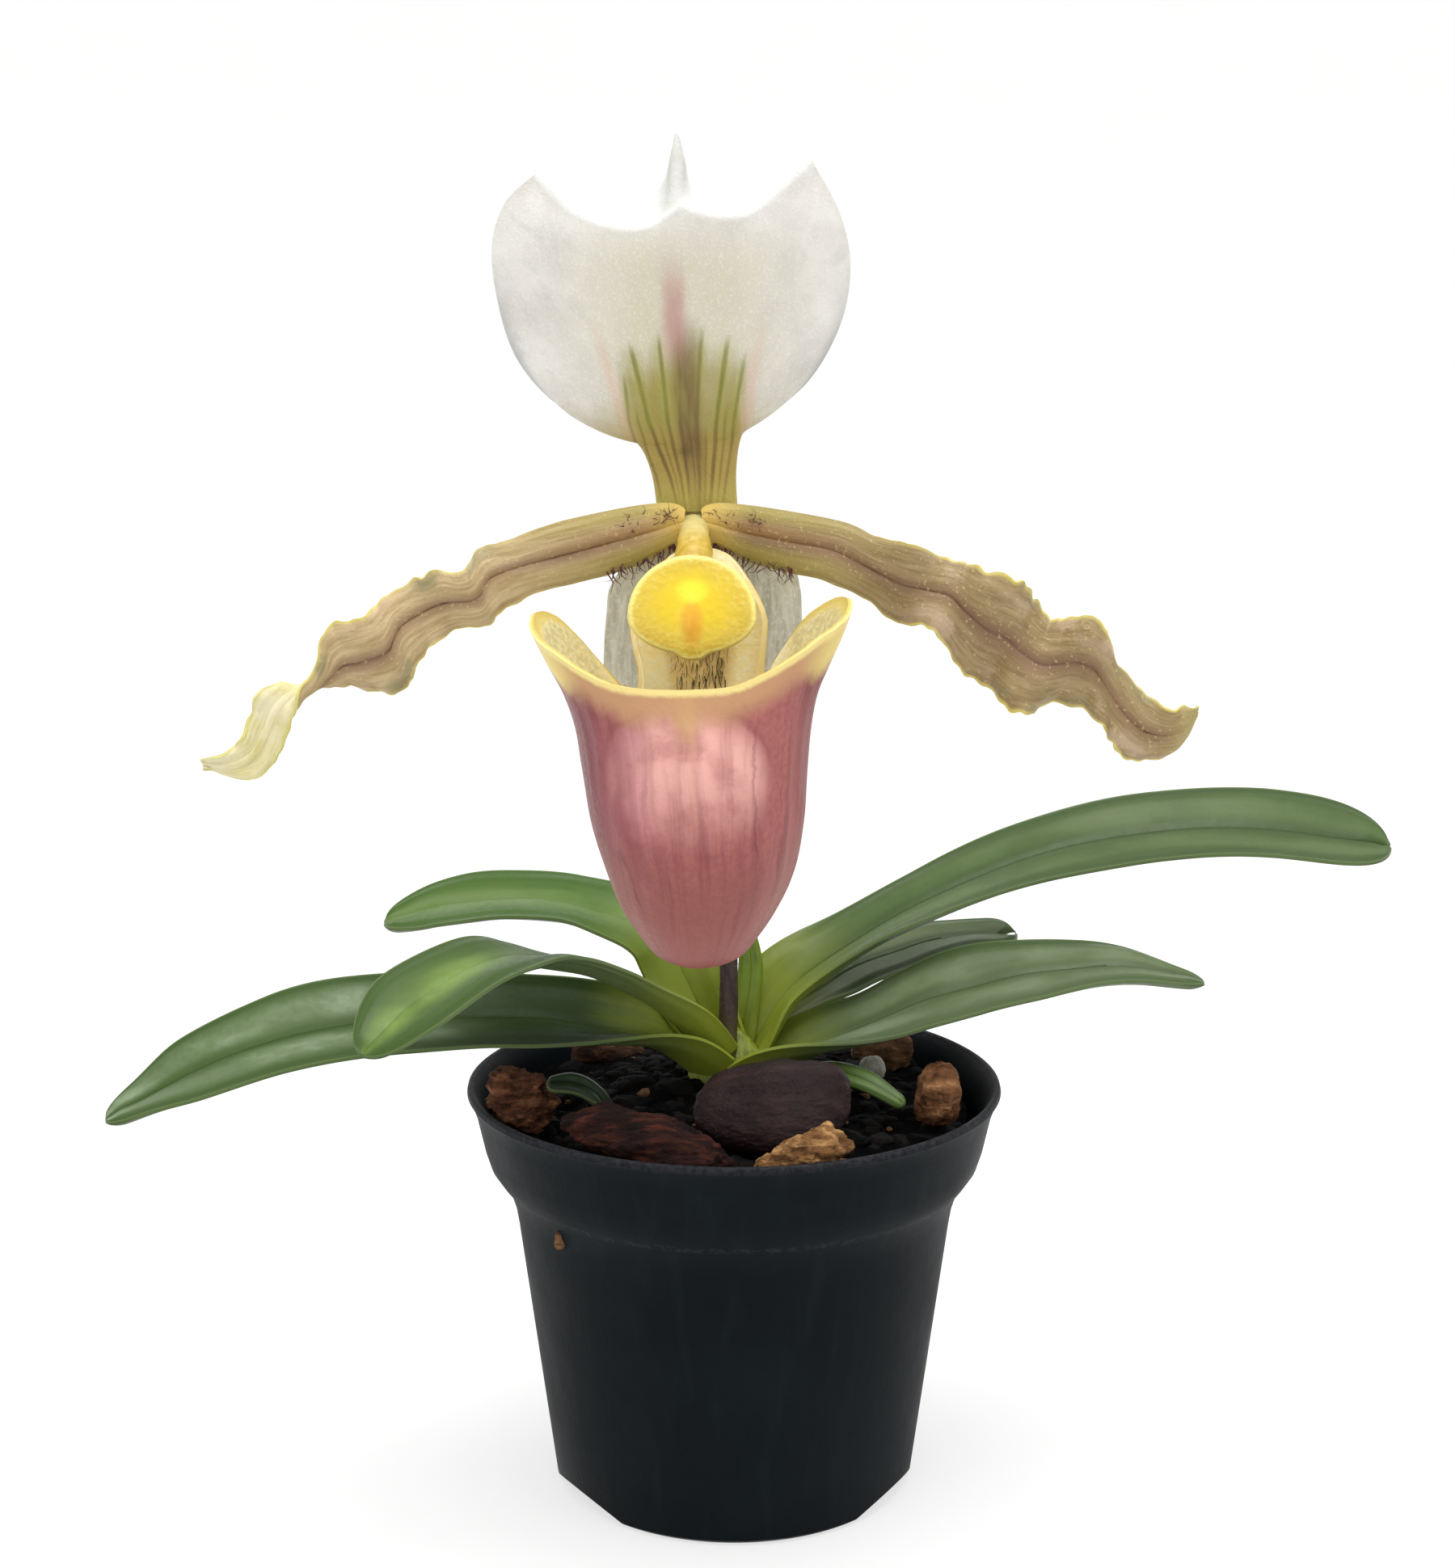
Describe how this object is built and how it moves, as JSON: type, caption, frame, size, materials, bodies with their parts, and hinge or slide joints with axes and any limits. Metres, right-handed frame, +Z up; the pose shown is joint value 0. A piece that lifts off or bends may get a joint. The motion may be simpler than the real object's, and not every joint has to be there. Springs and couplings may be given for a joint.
{
  "type": "potted paphiopedilum barbigerum",
  "caption": "Slipper orchid in flower with strap leaves, rooted in bark mix in a small round nursery pot that stands on its flat base.",
  "frame": {"origin": "centre of the pot's flat base, on the surface it stands on", "axes": "+Z up along the pot's axis; the flower faces -Y; +X is to the right of a viewer who faces the flower"},
  "size_m": [0.1225, 0.0778, 0.1282],
  "materials": {
    "pot_plastic": "satin",
    "bark_mix": "rough",
    "dark_bark": "smooth, dull",
    "red_bark": "rough",
    "orange_bark": "rough",
    "tan_bark": "rough",
    "perlite": "rough",
    "leaf_green": "satin",
    "crown_green": "satin",
    "scape_skin": "downy",
    "ovary_skin": "downy",
    "bract_green": "satin",
    "dorsal_white": "satin, translucent",
    "synsepal_grey": "matte",
    "petal_brown": "satin",
    "lip_rose": "satin",
    "staminode_yellow": "granular",
    "column_yellow": "granular"
  },
  "bodies": {
    "root": {"pot": "pot_plastic", "potting_mix": "bark_mix", "bark_chip_dark": "dark_bark", "bark_chip_red": "red_bark", "bark_chip_orange": "orange_bark", "bark_chip_tan": "tan_bark", "crumb_gold": "tan_bark", "bark_chip_back_left": "orange_bark", "bark_chip_back": "red_bark", "bark_chip_back_right": "tan_bark", "perlite_grain": "perlite", "crown": "crown_green", "leaf_left_low": "leaf_green", "leaf_left_mid": "leaf_green", "leaf_left_high": "leaf_green", "leaf_right_high": "leaf_green", "leaf_right_low": "leaf_green", "leaf_right_back": "leaf_green", "sheath_right": "leaf_green", "leaf_stub_left": "leaf_green", "leaf_stub_right": "leaf_green", "scape": "scape_skin", "ovary": "ovary_skin", "floral_bract": "bract_green", "dorsal_sepal": "dorsal_white", "synsepal": "synsepal_grey", "petal_left": "petal_brown", "petal_right": "petal_brown", "lip": "lip_rose", "staminode": "staminode_yellow", "column": "column_yellow"}
  },
  "joints": []
}
